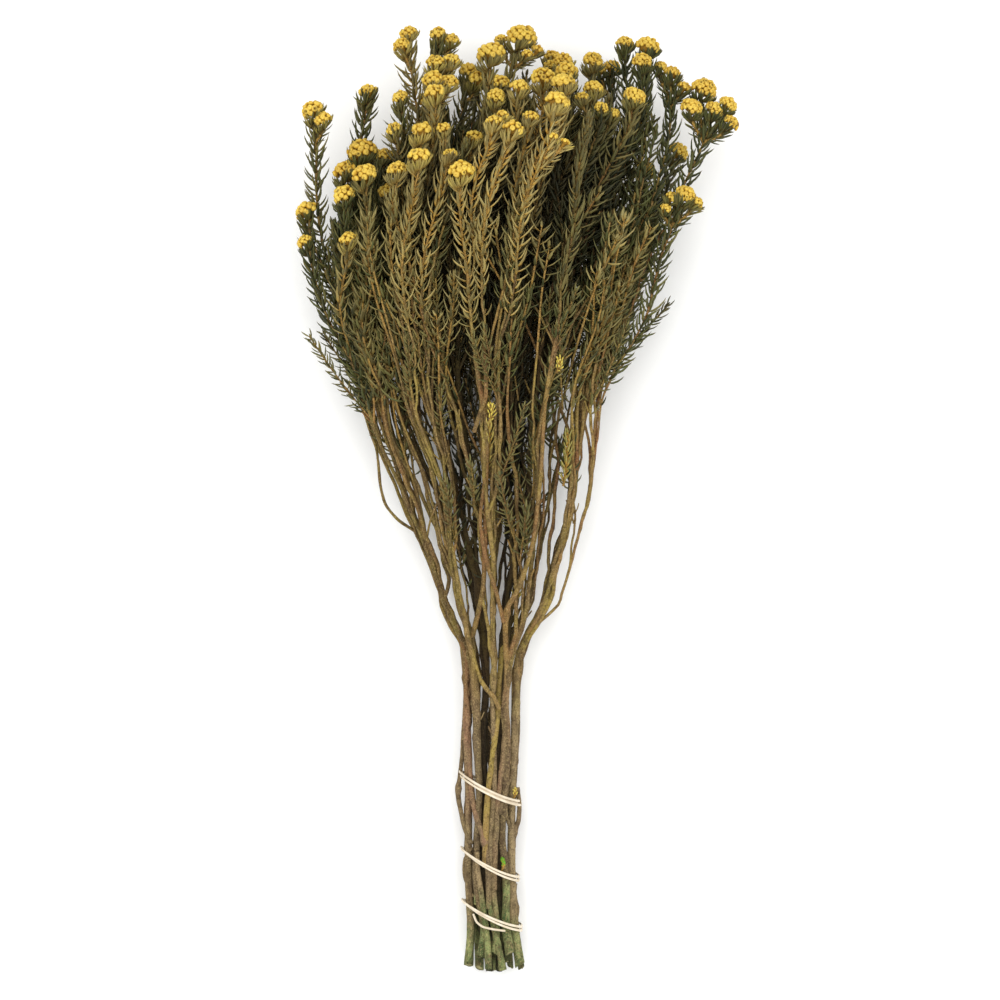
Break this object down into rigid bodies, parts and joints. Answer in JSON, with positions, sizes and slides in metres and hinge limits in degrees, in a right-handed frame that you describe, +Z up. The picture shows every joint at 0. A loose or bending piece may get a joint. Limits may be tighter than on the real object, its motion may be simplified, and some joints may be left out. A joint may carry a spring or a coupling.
{
  "type": "dried phylica bunch",
  "caption": "Tied bunch of dried forking stems with short needle leaves and round heads of small yellow florets, held by rubber bands, lying on its side.",
  "frame": {"origin": "middle of the bunch's footprint, on the surface that it lies on", "axes": "+Y from the cut ends to the flower heads, +Z up, +X to the right seen from above"},
  "size_m": [0.2332, 0.5002, 0.112],
  "materials": {
    "stem_wood": "matte",
    "flower_heads": "matte",
    "rubber_bands": "satin"
  },
  "bodies": {
    "root": {"stem_01": "stem_wood", "stem_02": "stem_wood", "stem_03": "stem_wood", "stem_04": "stem_wood", "stem_05": "stem_wood", "stem_06": "stem_wood", "stem_07": "stem_wood", "stem_08": "stem_wood", "stem_09": "stem_wood", "stem_10": "stem_wood", "stem_11": "stem_wood", "stem_12": "stem_wood", "stem_13": "stem_wood", "stem_14": "stem_wood", "heads_01": "flower_heads", "heads_02": "flower_heads", "heads_03": "flower_heads", "heads_04": "flower_heads", "heads_05": "flower_heads", "heads_06": "flower_heads", "heads_07": "flower_heads", "heads_08": "flower_heads", "heads_09": "flower_heads", "heads_10": "flower_heads", "heads_11": "flower_heads", "heads_12": "flower_heads", "heads_13": "flower_heads", "heads_14": "flower_heads", "heads_15": "flower_heads", "heads_16": "flower_heads", "heads_17": "flower_heads", "heads_18": "flower_heads", "heads_19": "flower_heads", "heads_20": "flower_heads", "heads_21": "flower_heads", "heads_22": "flower_heads", "heads_23": "flower_heads", "heads_24": "flower_heads", "heads_25": "flower_heads", "heads_26": "flower_heads", "heads_27": "flower_heads", "heads_28": "flower_heads", "heads_29": "flower_heads", "heads_30": "flower_heads", "heads_31": "flower_heads", "heads_32": "flower_heads", "heads_33": "flower_heads", "heads_34": "flower_heads", "heads_35": "flower_heads", "heads_36": "flower_heads", "heads_37": "flower_heads", "heads_38": "flower_heads", "heads_39": "flower_heads", "heads_40": "flower_heads", "heads_41": "flower_heads", "heads_42": "flower_heads", "heads_43": "flower_heads", "band_upper": "rubber_bands", "band_middle": "rubber_bands", "band_lower": "rubber_bands"}
  },
  "joints": []
}
